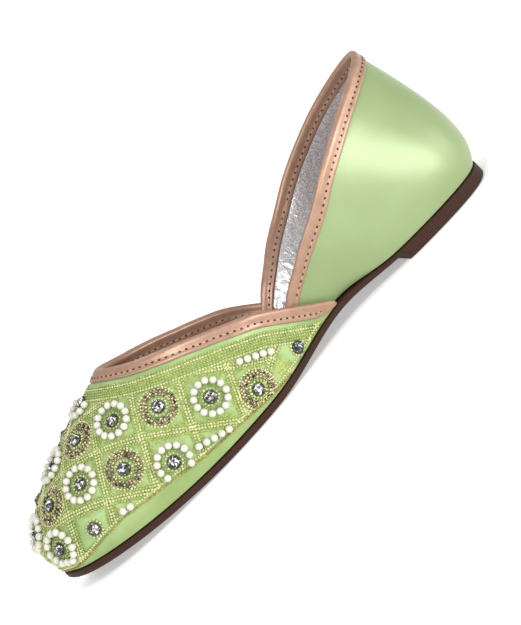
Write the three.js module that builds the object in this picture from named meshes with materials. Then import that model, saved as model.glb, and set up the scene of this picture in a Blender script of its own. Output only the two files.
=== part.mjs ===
// A beaded mojari flat for the left foot, in millimetres, +Z up, the toe pointing to -Y and the outer side to +X.
// It is made the way the real shoe is: a moulded outsole with a low heel, a padded insole with a rolled edge,
// a closed vamp whose wings run down to the waist, a separate heel quarter whose wings lie inside the vamp's,
// and a folded binding tape round each of their top edges.

import * as THREE from "three";

// Outsole
const soleLength = 245.7;
const ballWidth = 79;
const waistWidth = 40;
const heelWidth = 62.5;
const toeSpring = 7.5;
const archHeight = 5.6;
const foreSoleThickness = 3.7;
const waistSoleThickness = 3.1;
const heelLift = 3.4;
const soleEdgeRound = 1.1;

// Last: the outside of the upper
const throatSetback = 70.2;
const throatHeight = 59.5;
const mouthWidth = 61;
const collarWidth = 68;
const backHeight = 74;
const swell = 7.5;
const lastCurve = 2.2;
const outerDip = 4.8;
const innerDip = 3.4;
const soleMargin = 0.7;

// Upper, bindings and insole
const vampWall = 1.8;
const quarterWall = 1.5;
const skive = 0.3;
const tapeThickness = 0.8;
const tapeWidth = 5.4;
const insoleThickness = 3;
const sockRecess = 1.2;
const rollWidth = 5.5;
const sockEdge = 0.5;
const sockBevel = 2.2;
const clearance = 0.3;

// Places along the sole, as shares of its length from the toe
const springEnd = 0.3319;
const springPower = 1.8;
const treadEnd = 0.448;
const archPeak = 0.66;
const breast = 0.7821;
const breastSlope = 0.004;
const breastDrop = 0.3;

// The last's stations, from the toe tip to the back of the heel, for one side of the foot.
// along: place of the feather edge, as a share of the sole's length
// ball, waist, heel: its distance from the middle, as shares of those half widths
// curve: its shift to the outer side, as a share of lastCurve
// setback, run: place of the crown line, as shares of the throat's setback and of the sole's length
// mouth, collar: its distance from the middle, as shares of those half widths
// throat, back: its height, as shares of those heights
// fill, lift: how far the wall's lower half swells out, as a share of swell, and how high
// hold, puff, drop: how far its upper half leans to the feather edge, swells out, and how low that starts
// vamp, quarter: the share of the wall, from the feather edge, that each piece covers
const stationColumns = [
  "along", "ball", "waist", "heel", "curve", "setback", "run", "mouth", "collar",
  "throat", "back", "fill", "lift", "hold", "puff", "drop", "vamp", "quarter",
];
const stationRows = [
  [0.004, 0, 0, 0, -0.4, 1, 0, 0, 0, 1, 0, 1.32, 0.43, 0.81, 0, 0.36, 1, -1],
  [0.0167, 0.322, 0, 0, -0.35, 1, 0.0066, 0.23, 0, 0.99, 0, 1.25, 0.43, 0.78, 0, 0.34, 1, -1],
  [0.0376, 0.528, 0, 0, -0.1, 1, 0.0222, 0.46, 0, 0.958, 0, 1.08, 0.43, 0.73, 0, 0.32, 1, -1],
  [0.0749, 0.704, 0, 0, 0.2, 1, 0.0485, 0.672, 0, 0.908, 0, 0.84, 0.43, 0.66, 0, 0.3, 1, -1],
  [0.1388, 0.858, 0, 0, 0.6, 1, 0.0858, 0.84, 0, 0.849, 0, 0.62, 0.43, 0.6, 0, 0.28, 1, -1],
  [0.233, 0.961, 0, 0, 0.9, 1, 0.1282, 0.934, 0, 0.778, 0, 0.45, 0.42, 0.55, 0, 0.26, 1, -1],
  [0.335, 1, 0, 0, 1, 1, 0.1706, 0.99, 0, 0.7, 0, 0.37, 0.4, 0.52, 0, 0.25, 1, -1],
  [0.4238, 0.92, 0.06, 0, 0.9, 0.8, 0.2723, 0.5, 0.47, 0.45, 0.174, 0.32, 0.38, 0.48, 0, 0.25, 0.92, -0.7],
  [0.5015, 0.65, 0.32, 0, 0.7, 0.6, 0.371, 0.3, 0.67, 0.3, 0.278, 0.27, 0.36, 0.44, 0, 0.27, 0.79, -0.3],
  [0.5792, 0.22, 0.805, 0, 0.5, 0.4, 0.4727, 0.1, 0.88, 0.15, 0.39, 0.27, 0.34, 0.4, 0, 0.3, 0.52, 0.54],
  [0.6438, 0, 1.015, 0, 0.4, 0.2, 0.5825, 0, 1, 0, 0.52, 0.27, 0.32, 0.38, 0, 0.32, 0.06, 0.88],
  [0.7054, 0, 0.75, 0.206, 0.3, 0, 0.6974, 0, 1.01, 0, 0.608, 0.3, 0.3, 0.3, 0, 0.33, -0.5, 1],
  [0.7741, 0, 0.25, 0.72, 0.2, 0, 0.766, 0, 1, 0, 0.73, 0.4, 0.28, 0.2, 0.13, 0.35, -1, 1],
  [0.8468, 0, 0, 0.994, 0.1, 0, 0.8311, 0, 0.93, 0, 0.816, 0.52, 0.26, 0.1, 0.27, 0.37, -1, 1],
  [0.9113, 0, 0, 1, 0, 0, 0.8921, 0, 0.78, 0, 0.892, 0.75, 0.235, 0, 0.47, 0.39, -1, 1],
  [0.9621, 0, 0, 0.86, 0, 0, 0.941, 0, 0.56, 0, 0.947, 1.15, 0.2, 0, 0.7, 0.39, -1, 1],
  [0.9894, 0, 0, 0.516, 0, 0, 0.9756, 0, 0.3, 0, 0.984, 1.6, 0.175, 0, 0.82, 0.38, -1, 1],
  [0.9971, 0, 0, 0, 0, 0, 0.9879, 0, 0, 0, 1, 1.73, 0.165, 0, 0.85, 0.38, -1, 1],
];
const lastStation = stationRows.length - 1;
const vampEnd = 10.05;
const quarterEnd = 8.5;
const dipStart = 8;
const dipPeak = 9.8;
const dipEnd = 14;

// A station value by its number, mirrored past the toe tip and past the back of the heel.
function stationValue(column, number) {
  const folded = number < 0 ? -number : number > lastStation ? 2 * lastStation - number : number;
  return stationRows[folded][column];
}

// A column's value between stations, as a Catmull-Rom curve. Widths change sign past the middle.
function between(name, place, isWidth = false) {
  const column = stationColumns.indexOf(name);
  const from = Math.min(Math.floor(place), lastStation - 1);
  const t = place - from;
  const [a, b, c, d] = [-1, 0, 1, 2].map((step) => {
    const number = from + step;
    const across = isWidth && (number < 0 || number > lastStation);
    return stationValue(column, number) * (across ? -1 : 1);
  });
  return b + 0.5 * t * (c - a + t * (2 * a - 5 * b + 4 * c - d + t * (3 * (b - c) + d - a)));
}

function smooth(share) {
  const t = Math.min(1, Math.max(0, share));
  return t * t * (3 - 2 * t);
}

// Height of the outsole's underside at a place along it, from the toe.
function soleUnderside(y) {
  const share = y / soleLength;
  const spring = toeSpring * Math.max(0, 1 - share / springEnd) ** springPower;
  const rise = smooth((share - treadEnd) / (archPeak - treadEnd));
  const fall = 1 - breastDrop * smooth((share - archPeak) / (breast - archPeak));
  const heel = smooth((share - breast) / breastSlope);
  return spring + archHeight * rise * fall * (1 - heel);
}

// Height of its top, which the insole and the upper stand on.
function soleTop(y) {
  const share = y / soleLength;
  const spring = toeSpring * Math.max(0, 1 - share / springEnd) ** springPower;
  const rise = smooth((share - treadEnd) / (archPeak - treadEnd));
  const fall = smooth((share - archPeak) / (breast - archPeak));
  const waist = archHeight + waistSoleThickness;
  const heel = heelLift + waistSoleThickness;
  return spring + foreSoleThickness + (waist - foreSoleThickness) * rise + (heel - waist) * fall;
}

// A point of the feather edge, where the upper meets the sole. Negative places are on the inner side.
function featherPoint(place) {
  const n = Math.abs(place);
  const half =
    between("ball", n, true) * (ballWidth / 2 - soleMargin) +
    between("waist", n, true) * (waistWidth / 2 - soleMargin) +
    between("heel", n, true) * (heelWidth / 2 - soleMargin);
  const y = between("along", n) * soleLength;
  const x = Math.sign(place) * half + between("curve", n) * lastCurve;
  return new THREE.Vector3(x, y, soleTop(y) + clearance);
}

// The level direction out of the shoe at the feather edge.
function outward(place) {
  const step = 0.05;
  const ahead = featherPoint(place + step);
  const behind = featherPoint(place - step);
  return new THREE.Vector3(ahead.y - behind.y, behind.x - ahead.x, 0).normalize();
}

// How far the collar dips at the waist, deeper on the outer side, which runs under the ankle bone.
function collarDip(place) {
  const n = Math.abs(place);
  const deepest = place > 0 ? outerDip : innerDip;
  return deepest * smooth((n - dipStart) / (dipPeak - dipStart)) * smooth((dipEnd - n) / (dipEnd - dipPeak));
}

function crownPoint(place) {
  const n = Math.abs(place);
  const half = between("mouth", n, true) * mouthWidth / 2 + between("collar", n, true) * collarWidth / 2;
  const x = Math.sign(place) * half + between("curve", n) * lastCurve;
  const y = between("setback", n) * throatSetback + between("run", n) * soleLength;
  const z = between("throat", n) * throatHeight + between("back", n) * backHeight - collarDip(place);
  return new THREE.Vector3(x, y, z);
}

// A point on the outside of the last: share 0 at the feather edge, 1 at the crown line.
function lastPoint(place, share) {
  const n = Math.abs(place);
  const foot = featherPoint(place);
  const crown = crownPoint(place);
  const rise = crown.z - foot.z;
  const out = outward(place);
  const low = foot.clone().addScaledVector(out, between("fill", n) * swell);
  low.z += between("lift", n) * rise;
  const high = crown.clone().lerp(new THREE.Vector3(foot.x, foot.y, crown.z), between("hold", n));
  high.addScaledVector(out, between("puff", n) * swell);
  high.z -= between("drop", n) * rise;
  return new THREE.CubicBezierCurve3(foot, low, high, crown).getPoint(share);
}

// The unit normal that points out of the last, and the one that points up its wall.
function lastFrame(place, share) {
  const step = 0.02;
  const along = lastPoint(place + step, share).sub(lastPoint(place - step, share));
  const up = lastPoint(place, share + step).sub(lastPoint(place, share - step)).normalize();
  const normal = along.cross(up).normalize();
  return { normal, up };
}

// A point at a depth under the last's outside, in millimetres.
function under(place, share, depth) {
  return lastPoint(place, share).addScaledVector(lastFrame(place, share).normal, -depth);
}

// A closed solid between two grids of points, row by row. The outer grid's faces point along rows x columns.
function shellSolid(outer, inner) {
  const rows = outer.length;
  const columns = outer[0].length;
  const points = [...outer.flat(), ...inner.flat()];
  const inside = rows * columns;
  const index = [];
  const quad = (a, b, c, d) => index.push(a, c, b, a, d, c);
  for (let r = 0; r < rows - 1; r++) {
    for (let c = 0; c < columns - 1; c++) {
      const at = r * columns + c;
      quad(at, at + 1, at + columns + 1, at + columns);
      quad(inside + at, inside + at + columns, inside + at + columns + 1, inside + at + 1);
    }
    const left = r * columns;
    const right = left + columns - 1;
    quad(left, left + columns, inside + left + columns, inside + left);
    quad(right, inside + right, inside + right + columns, right + columns);
  }
  for (let c = 0; c < columns - 1; c++) {
    const last = (rows - 1) * columns + c;
    quad(c, inside + c, inside + c + 1, c + 1);
    quad(last, last + 1, inside + last + 1, inside + last);
  }
  return solidGeometry(points, index);
}

// A closed plate from rings of points, lowest first, each running from the toe round the outer side.
function plateSolid(rings) {
  const count = rings[0].length;
  const index = [];
  const quad = (a, b, c, d) => index.push(a, b, c, a, c, d);
  for (let ring = 0; ring < rings.length - 1; ring++) {
    for (let i = 0; i < count; i++) {
      const next = (i + 1) % count;
      const low = ring * count;
      quad(low + i, low + next, low + count + next, low + count + i);
    }
  }
  const top = (rings.length - 1) * count;
  for (let i = 0; i < count / 2; i++) {
    const [a, b] = [i, i + 1];
    const [c, d] = [(count - b) % count, (count - a) % count];
    if (a !== d) index.push(a, d, b, top + a, top + b, top + d);
    if (b !== c) index.push(b, d, c, top + b, top + c, top + d);
  }
  return solidGeometry(rings.flat(), index);
}

function solidGeometry(points, index) {
  const geometry = new THREE.BufferGeometry().setFromPoints(points);
  geometry.setIndex(index);
  geometry.computeVertexNormals();
  return geometry;
}

// Evenly stepped numbers from one value to another.
function steps(from, to, count) {
  return Array.from({ length: count + 1 }, (_, i) => from + ((to - from) * i) / count);
}

// A loop of places round the sole: from the toe tip round the outer side to the heel, and back on the inner side.
function loopPlaces(extra = []) {
  const side = [...steps(0, lastStation, 2 * lastStation), ...extra].sort((a, b) => a - b);
  return [...side, ...side.slice(1, -1).reverse().map((place) => -place)];
}

// The station number at a share of the sole's length.
function placeAt(share) {
  let low = 0;
  let high = lastStation;
  for (let turn = 0; turn < 40; turn++) {
    const middle = (low + high) / 2;
    if (between("along", middle) < share) low = middle;
    else high = middle;
  }
  return (low + high) / 2;
}

function outsole() {
  const places = loopPlaces([placeAt(breast), placeAt(breast + breastSlope)]);
  const ring = (margin, height) =>
    places.map((place) => {
      const edge = featherPoint(place).addScaledVector(outward(place), margin);
      const y = Math.min(soleLength, Math.max(0, edge.y));
      return edge.setZ(height(y));
    });
  return plateSolid([
    ring(soleMargin - soleEdgeRound, soleUnderside),
    ring(soleMargin, (y) => soleUnderside(y) + soleEdgeRound),
    ring(soleMargin, (y) => soleTop(y) - soleEdgeRound / 2),
    ring(soleMargin - soleEdgeRound / 2, soleTop),
  ]);
}

// How deep the quarter lies under the last's outside: below the vamp and both bindings at its wings.
// Behind the vamp's end it comes out over insetRun stations, and the insole makes room insetLead stations earlier.
const leastGap = 0.1;
const insetRun = 1.5;
const insetLead = 1.2;

function quarterInset(place) {
  const stack = vampWall + 2 * tapeThickness + 2 * clearance;
  return stack * (1 - smooth((Math.abs(place) - vampEnd - leastGap) / insetRun));
}

// Depth of the insole's edge inside the feather edge.
function insoleInset(place) {
  const n = Math.abs(place);
  const front = vampWall + clearance;
  const rear = quarterInset(place) + quarterWall + clearance;
  return front + (rear - front) * smooth(n - quarterEnd + insetLead);
}

function insoleRing(inset, rise) {
  return loopPlaces().map((place) => {
    const edge = featherPoint(place).addScaledVector(outward(place), -insoleInset(place) - inset);
    return edge.setZ(soleTop(edge.y) + clearance + rise);
  });
}

// The insole's rolled edge in section, from its underside to the recess for the sock panel.
// inset: as a share of rollWidth. rise: as a share of insoleThickness
const rollSection = [
  [0.11, 0],
  [0, 0.27],
  [0.05, 0.8],
  [0.25, 1],
  [0.82, 0.83],
  [1, 1 - sockRecess / insoleThickness],
];

function insole() {
  return plateSolid(rollSection.map(([inset, rise]) => insoleRing(inset * rollWidth, rise * insoleThickness)));
}

function sockPanel() {
  const base = insoleThickness - sockRecess + clearance;
  return plateSolid([
    insoleRing(rollWidth + clearance, base),
    insoleRing(rollWidth + clearance, base + sockEdge),
    insoleRing(rollWidth + clearance + sockBevel, base + sockRecess),
  ]);
}

// The least sine of the angle between a top edge and the wall, where the edge runs down to the sole.
const steepest = 0.55;

// The share of the wall that a piece covers at a place, kept on the wall.
function topShare(piece, place) {
  return Math.min(1, Math.max(0.02, between(piece, Math.abs(place))));
}

// Millimetres of wall in a whole share of it, taken near its top.
function wallPace(place, top) {
  const step = 0.02;
  return lastPoint(place, top).distanceTo(lastPoint(place, top - step)) / step;
}

// The share of the wall that a width measured square to the piece's top edge takes.
function edgeShare(piece, place, width) {
  const step = 0.1;
  const ahead = lastPoint(place + step, topShare(piece, place + step));
  const edge = ahead.sub(lastPoint(place - step, topShare(piece, place - step))).normalize();
  const sine = edge.cross(lastFrame(place, topShare(piece, place)).up).length();
  const goal = width / Math.max(sine, steepest);
  const top = topShare(piece, place);
  const rows = steps(top, 0, 24).map((share) => lastPoint(place, share));
  let length = 0;
  for (let i = 1; i < rows.length; i++) {
    const next = length + rows[i].distanceTo(rows[i - 1]);
    if (next >= goal) return (top * (i - 1 + (goal - length) / (next - length))) / (rows.length - 1);
    length = next;
  }
  return top;
}

// The least share of a wing's height that its binding leaves free, and the skived step's slope as a share of it.
const leastFree = { vamp: 0.1, quarter: 0.3 };
const skiveSlope = 0.08;

// One piece of the upper: a wall of one thickness, thinned on both faces where the binding folds over it.
function upperSolid(piece, places, rows, wall, inset) {
  const grid = (depth, thinned) =>
    places.map((place) => {
      const top = topShare(piece, place);
      const bound = edgeShare(piece, place, tapeWidth);
      const skived = Math.max(top - bound, top * leastFree[piece]);
      const shares = [...steps(0, skived, rows), skived + skiveSlope * bound, (skived + top) / 2, top];
      return shares.map((share, i) => under(place, share, inset(place) + depth + (i > rows ? thinned : 0)));
    });
  return shellSolid(grid(0, skive), grid(wall, -skive));
}

// Both pieces are cut at the same places, so that their faces run side by side where they overlap.
const pitch = 0.4;

function piecePlaces(from, to) {
  const all = Array.from({ length: Math.ceil(lastStation / pitch) }, (_, i) => i * pitch);
  return [from, ...all.filter((place) => place > from + leastGap && place < to - leastGap), to];
}

const vampPlaces = [
  ...piecePlaces(0, vampEnd).reverse().map((place) => -place),
  ...piecePlaces(0, vampEnd).slice(1),
];
const quarterPlaces = [
  ...piecePlaces(quarterEnd, lastStation),
  ...piecePlaces(quarterEnd, lastStation).reverse().slice(1).map((place) => -place),
];

function vamp() {
  return upperSolid("vamp", vampPlaces, 9, vampWall, () => 0);
}

function quarter() {
  return upperSolid("quarter", quarterPlaces, 7, quarterWall, quarterInset);
}

// A binding tape folded over a top edge, clear of the wall by the clearance.
function bindingSolid(piece, places, wall, inset) {
  const fold = (thickness) =>
    places.map((place) => {
      const top = topShare(piece, place);
      const leg = Math.min(edgeShare(piece, place, tapeWidth), top * (1 - leastFree[piece]));
      const outer = inset(place) + skive - clearance - thickness;
      const inner = inset(place) + wall - skive + clearance + thickness;
      const lap = (clearance + thickness) / wallPace(place, top);
      const depths = [
        [top - leg, outer], [top - leg / 2, outer], [top, outer],
        [top + lap, outer + thickness], [top + lap, inner - thickness],
        [top, inner], [top - leg / 2, inner], [top - leg, inner],
      ];
      return depths.map(([share, depth]) => under(place, share, depth));
    });
  return shellSolid(fold(tapeThickness), fold(0));
}

function material(color, roughness, metalness) {
  return new THREE.MeshStandardMaterial({ color, roughness, metalness });
}

const moulded = material("#4a332b", 0.6, 0);
const satin = material("#b3d488", 0.4, 0);
const foil = material("#c9a38a", 0.4, 0.4);
const sockLeather = material("#cfb3a6", 0.5, 0.1);

const shoe = new THREE.Group();

function addPiece(name, geometry, look) {
  const mesh = new THREE.Mesh(geometry, look);
  mesh.name = name;
  shoe.add(mesh);
  return mesh;
}

addPiece("outsole", outsole(), moulded);
addPiece("insole", insole(), foil);
addPiece("sock_panel", sockPanel(), sockLeather);
addPiece("vamp", vamp(), satin);
addPiece("quarter", quarter(), satin);
addPiece("vamp_binding", bindingSolid("vamp", vampPlaces, vampWall, () => 0), foil);
addPiece("quarter_binding", bindingSolid("quarter", quarterPlaces, quarterWall, quarterInset), foil);

// The frame's origin is on the floor, under the middle of the shoe's box.
const box = new THREE.Box3().setFromObject(shoe);
const middle = box.getCenter(new THREE.Vector3());
shoe.position.set(-middle.x, -middle.y, -box.min.z);

export default shoe;
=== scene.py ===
from math import atan2, cos, pi, radians, sin

import bmesh
import bpy
import numpy as np
from mathutils import Matrix, Vector
from mathutils.bvhtree import BVHTree
from mathutils.kdtree import KDTree


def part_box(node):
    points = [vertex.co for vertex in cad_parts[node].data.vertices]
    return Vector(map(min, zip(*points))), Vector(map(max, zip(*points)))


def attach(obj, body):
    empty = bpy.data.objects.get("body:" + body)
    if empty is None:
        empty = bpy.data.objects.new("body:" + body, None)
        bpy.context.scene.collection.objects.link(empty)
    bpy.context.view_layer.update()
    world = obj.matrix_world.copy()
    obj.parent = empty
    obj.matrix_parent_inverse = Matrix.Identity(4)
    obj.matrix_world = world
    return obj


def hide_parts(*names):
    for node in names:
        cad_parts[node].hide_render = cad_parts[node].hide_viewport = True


# The mojari flat for the left foot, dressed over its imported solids. Lengths are in metres, and MM turns
# millimetres into them. The toe points to -Y, and the outer side is +X.
MM = 0.001

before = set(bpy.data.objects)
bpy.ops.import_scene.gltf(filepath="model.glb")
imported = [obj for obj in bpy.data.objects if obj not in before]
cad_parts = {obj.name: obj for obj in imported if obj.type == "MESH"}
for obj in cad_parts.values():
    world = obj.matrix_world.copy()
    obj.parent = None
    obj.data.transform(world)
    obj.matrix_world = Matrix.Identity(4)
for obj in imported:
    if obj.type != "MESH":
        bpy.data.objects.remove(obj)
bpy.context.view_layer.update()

# The photo's camera, measured round the shoe, and the photo's frame in pixels
CAMERA_AZIMUTH = radians(82.8)
CAMERA_ELEVATION = radians(9.9)
CAMERA_ROLL = radians(45.5)
CAMERA_DISTANCE = 1400 * MM
PHOTO_WIDTH = 521
PHOTO_HEIGHT = 625
PHOTO_MARGIN = 0.07

# The vamp's bead chart lies on the flat cloth, whose first line runs along the ridge. Columns are counted
# from the ridge and grow wider to the side. Rows are counted towards the heel, a half cell at a time.
CLOTH_START = 61.2 * MM
FIRST_ROW = -8.9 * MM
ROW_STEP = 14.5 * MM
ROW_DROP = 0.75 * MM
FIRST_COLUMN = 12.0 * MM
COLUMN_GROWTH = 0.68 * MM

# What is sewn in each cell: a column's rows, and the same on both sides of the ridge
FLOWERS = {
    0: {0: "pearl", -2: "pearl", -4: "pearl"},
    1: {-1: "bronze", -3: "bronze"},
    2: {0: "pearl", -2: "pearl", -4: "pearl"},
    3: {1: "bronze", -1: "bronze", -2.9: "stone"},
    4: {2: "pearl", -0.1: "pearl"},
    5: {2.9: "bronze"},
}
# Where cells are cut off by a border there is a short row of pearls: its middle, slant and count
SHORT_ROWS = (
    (68.2 * MM, 3.2 * MM, radians(59), 5),
    (51.0 * MM, -39.2 * MM, radians(59), 2),
)

# The wings have a row of pearls and a stone: how far below the top edge, and the Y of the middle
WING_ROW = (15.8 * MM, -8.3 * MM)
WING_STONE = (15.8 * MM, 6.5 * MM)

# Rows of the top border, from the vamp's top edge
BORDER_START = 7.4 * MM
PALE_ROWS = (8.8 * MM, 13.6 * MM)
LEAF_ROWS = (7.6 * MM, 10.0 * MM, 11.2 * MM, 12.4 * MM)
BORDER_END = 14.4 * MM

# The plain hem over the sole: its width at places along the foot, from the toe to the waist
HEM_PLACES = (-0.1205, -0.104, -0.093, -0.069, -0.054, -0.044, -0.031, -0.017, -0.004, 0.004)
HEM_WIDTHS = (1.0 * MM, 6.5 * MM, 8.5 * MM, 7.4 * MM, 5.4 * MM, 4.8 * MM, 3.6 * MM, 1.8 * MM, 0.8 * MM,
              0.3 * MM)

PEARL = 3.34 * MM
PEARL_SEAT = PEARL * 0.42
PEARL_PITCH = PEARL * 1.06
SEED = 1.35 * MM
STONE = 4.4 * MM

# The rings round each flower's stone, from the inside: bead, radius, count, lift and the first bead's turn
STONE_RING = ("pale", 3.5 * MM, 15, 0.4 * MM, 0)
FLOWER_RINGS = {
    "stone": (),
    "pearl": (
        ("leaf", 4.7 * MM, 22, 0.25 * MM, 0),
        ("pearls", 6.95 * MM, 13, PEARL_SEAT, 0),
    ),
    "bronze": (
        ("leaf", 4.2 * MM, 19, 0.3 * MM, 0.5),
        ("bronze", 5.3 * MM, 22, 0.55 * MM, 0),
        ("bronze", 6.5 * MM, 27, 0.55 * MM, 0.5),
        ("bronze", 7.5 * MM, 30, 0.35 * MM, 0.2),
        ("pale", 8.5 * MM, 36, 0.25 * MM, 0),
    ),
}

# The pitch of the stitches, and how far the seams lie from the tape's fold and from the sock panel
STITCH = 1.3 * MM
TAPE_STITCH = 3.0 * MM
TAPE_SEAM = 3.3 * MM
EDGE_STITCH = 3.2 * MM
EDGE_SEAM = 2.0 * MM

# Rays down on the insole start this high, and points of a CAD node closer than MERGE are one
OVERHEAD = 60 * MM
MERGE = 0.002 * MM

# The arc of pricks under the ball of the foot, in degrees from the outer side
BALL_ARC_MIDDLE = Vector((2 * MM, -29 * MM, OVERHEAD))
BALL_ARC_RADIUS = 25 * MM
BALL_ARC_DEGREES = range(12, 169, 6)

# A wave texture's scale for bands one metre apart
ONE_BAND = 2 * pi / 20


# Mesh helpers

def choose(piece):
    bpy.ops.object.select_all(action="DESELECT")
    piece.select_set(True)
    bpy.context.view_layer.objects.active = piece


def smooth(piece, angle=40):
    choose(piece)
    bpy.ops.object.shade_smooth_by_angle(angle=radians(angle))


def supple_copy(node, name, levels, crease=True):
    """A copy of a CAD node, merged and subdivided, for the piece that takes its place."""
    choose(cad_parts[node])
    bpy.ops.object.duplicate()
    piece = bpy.context.object
    piece.parent = None
    for key in list(piece.keys()):
        del piece[key]
    piece.name = name
    piece.data.name = name
    piece.data.materials.clear()
    bpy.ops.object.mode_set(mode="EDIT")
    bpy.ops.mesh.select_all(action="SELECT")
    bpy.ops.mesh.remove_doubles(threshold=MERGE)
    bpy.ops.mesh.tris_convert_to_quads(face_threshold=radians(50), shape_threshold=radians(70))
    bpy.ops.mesh.customdata_custom_splitnormals_clear()
    bpy.ops.object.mode_set(mode="OBJECT")
    if crease:
        crease_sharp_edges(piece, 38)
    subdivide = piece.modifiers.new("round", "SUBSURF")
    subdivide.levels = subdivide.render_levels = levels
    bpy.ops.object.modifier_apply(modifier="round")
    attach(piece, "root")
    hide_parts(node)
    return piece


def crease_sharp_edges(piece, angle, strength=0.9):
    model = bmesh.new()
    model.from_mesh(piece.data)
    crease = model.edges.layers.float.get("crease_edge") or model.edges.layers.float.new("crease_edge")
    for edge in model.edges:
        if len(edge.link_faces) == 2 and edge.calc_face_angle() > radians(angle):
            edge[crease] = strength
    model.to_mesh(piece.data)
    model.free()


def new_piece(name, points, faces):
    mesh = bpy.data.meshes.new(name)
    mesh.from_pydata(points, [], faces)
    mesh.update()
    piece = bpy.data.objects.new(name, mesh)
    bpy.context.scene.collection.objects.link(piece)
    return piece


def strew(name, pattern, places):
    """One mesh of a pattern piece repeated at every place, which is a matrix. The pattern is removed."""
    count = len(pattern.data.vertices)
    points = np.empty(count * 3, np.float64)
    pattern.data.vertices.foreach_get("co", points)
    points = np.c_[points.reshape(-1, 3), np.ones(count)]
    faces = [tuple(face.vertices) for face in pattern.data.polygons]
    all_points = np.concatenate([(points @ np.array(place).T)[:, :3] for place in places])
    all_faces = [tuple(v + i * count for v in face) for i in range(len(places)) for face in faces]
    piece = new_piece(name, all_points.tolist(), all_faces)
    bpy.data.objects.remove(pattern)
    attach(piece, "root")
    return piece


def dress(piece, *finishes, slot=None):
    piece.data.materials.clear()
    for finish in finishes:
        piece.data.materials.append(finish)


# Reading the walls of the CAD shells

class Wall:
    """The outer and inner faces of a hollow CAD node, and the lines of its outer top edge and of its foot."""

    def __init__(self, node, middle, heading, foot_reach):
        model = bmesh.new()
        model.from_mesh(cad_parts[node].data)
        bmesh.ops.remove_doubles(model, verts=model.verts, dist=MERGE)
        model.normal_update()
        whole = BVHTree.FromBMesh(model)
        self.middle = middle
        sides = {face: self.side_of(face, whole) for face in model.faces}
        self.outer = self.tree(model, [face for face in model.faces if sides[face] > 0])
        self.inner = self.tree(model, [face for face in model.faces if sides[face] < 0])
        rim = {v for edge in model.edges for v in edge.verts
               if sorted(sides[face] for face in edge.link_faces) == [0, 1]}
        sole = surface_of("outsole")
        low = [v.co.copy() for v in rim if sole.find_nearest(v.co)[3] < foot_reach]
        high = [v.co.copy() for v in rim if sole.find_nearest(v.co)[3] >= foot_reach]
        self.top = fair_line(sorted(high, key=heading), 1.0 * MM)
        self.foot = fair_line(sorted(low, key=heading), 1.0 * MM)
        self.downward = self.way_down()
        self.top_finder = finder(self.top)
        self.foot_finder = finder(self.foot)
        model.free()

    def way_down(self):
        """1 where the foot lies to the right of the top line, seen from outside, and -1 where to its left."""
        middle = len(self.top) // 2
        run = self.top[middle + 1] - self.top[middle - 1]
        right = run.cross(self.outer.find_nearest(self.top[middle])[1])
        return 1 if right.z < 0 else -1

    def side_of(self, face, whole):
        """1 for an outer face, -1 for an inner one and 0 for the rim, by what lies behind the face."""
        centre = face.calc_center_median()
        hit = whole.ray_cast(centre - face.normal * 0.05 * MM, -face.normal, 4 * MM)
        if hit[0] is None or hit[1].dot(face.normal) > -0.35:
            return 0
        return 1 if face.normal.dot(centre - self.middle(centre)) > 0 else -1

    @staticmethod
    def tree(model, faces):
        points = [v.co.copy() for v in model.verts]
        return BVHTree.FromPolygons(points, [[v.index for v in face.verts] for face in faces])

    def from_top(self, point):
        return self.top_finder.find(point)[2]

    def from_foot(self, point):
        return self.foot_finder.find(point)[2]


def surface_of(node):
    return skin_of(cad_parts[node])


def skin_of(piece):
    model = bmesh.new()
    model.from_mesh(piece.data)
    bmesh.ops.remove_doubles(model, verts=model.verts, dist=MERGE)
    tree = BVHTree.FromBMesh(model)
    model.free()
    return tree


def finder(points):
    tree = KDTree(len(points))
    for number, point in enumerate(points):
        tree.insert(point, number)
    tree.balance()
    return tree


def fair_line(points, pitch):
    """A smooth line through the points, with its own points an even pitch apart."""
    curve = []
    for i in range(len(points) - 1):
        before = points[max(i - 1, 0)]
        after = points[min(i + 2, len(points) - 1)]
        for step in range(8):
            t = step / 8
            a, b = points[i], points[i + 1]
            bend = (b - before) * 0.5 * (t - 2 * t**2 + t**3) + (after - a) * 0.5 * (t**3 - t**2)
            curve.append(a * (1 - 3 * t**2 + 2 * t**3) + b * (3 * t**2 - 2 * t**3) + bend)
    curve.append(points[-1])
    return even_line(curve, pitch)


def even_line(points, pitch):
    steps = [(b - a).length for a, b in zip(points, points[1:])]
    along = np.concatenate([[0], np.cumsum(steps)])
    count = max(2, round(along[-1] / pitch) + 1)
    places = np.linspace(0, along[-1], count)
    table = np.array(points)
    columns = [np.interp(places, along, table[:, axis]) for axis in range(3)]
    return [Vector(point) for point in zip(*columns)]


def slide(line, surface, distance):
    """The line moved over a surface, square to its run: to the right, seen from outside, if positive."""
    rounds = max(1, round(abs(distance) / (1.5 * MM)))
    for _ in range(rounds):
        moved = []
        for i, point in enumerate(line):
            run = line[min(i + 1, len(line) - 1)] - line[max(i - 1, 0)]
            normal = surface.find_nearest(point)[1]
            right = run.cross(normal).normalized()
            moved.append(surface.find_nearest(point + right * distance / rounds)[0])
        line = moved
    return line


def stand(point, normal, ahead, lift=0.0):
    """A matrix that puts a small piece on a surface: its Z along the normal, its X ahead."""
    normal = normal.normalized()
    ahead = (ahead - normal * ahead.dot(normal)).normalized()
    side = normal.cross(ahead)
    place = Matrix((ahead, side, normal)).transposed().to_4x4()
    place.translation = point + normal * lift
    return place


def row_places(line, surface, lift, pitch):
    line = even_line(line, pitch)
    places = []
    for i, point in enumerate(line):
        run = line[min(i + 1, len(line) - 1)] - line[max(i - 1, 0)]
        spot, normal = surface.find_nearest(point)[:2]
        places.append(stand(spot, normal, run, lift))
    return places


# The vamp's cloth, flat: across the foot from its ridge, and along it from the first row's middle point

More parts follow.
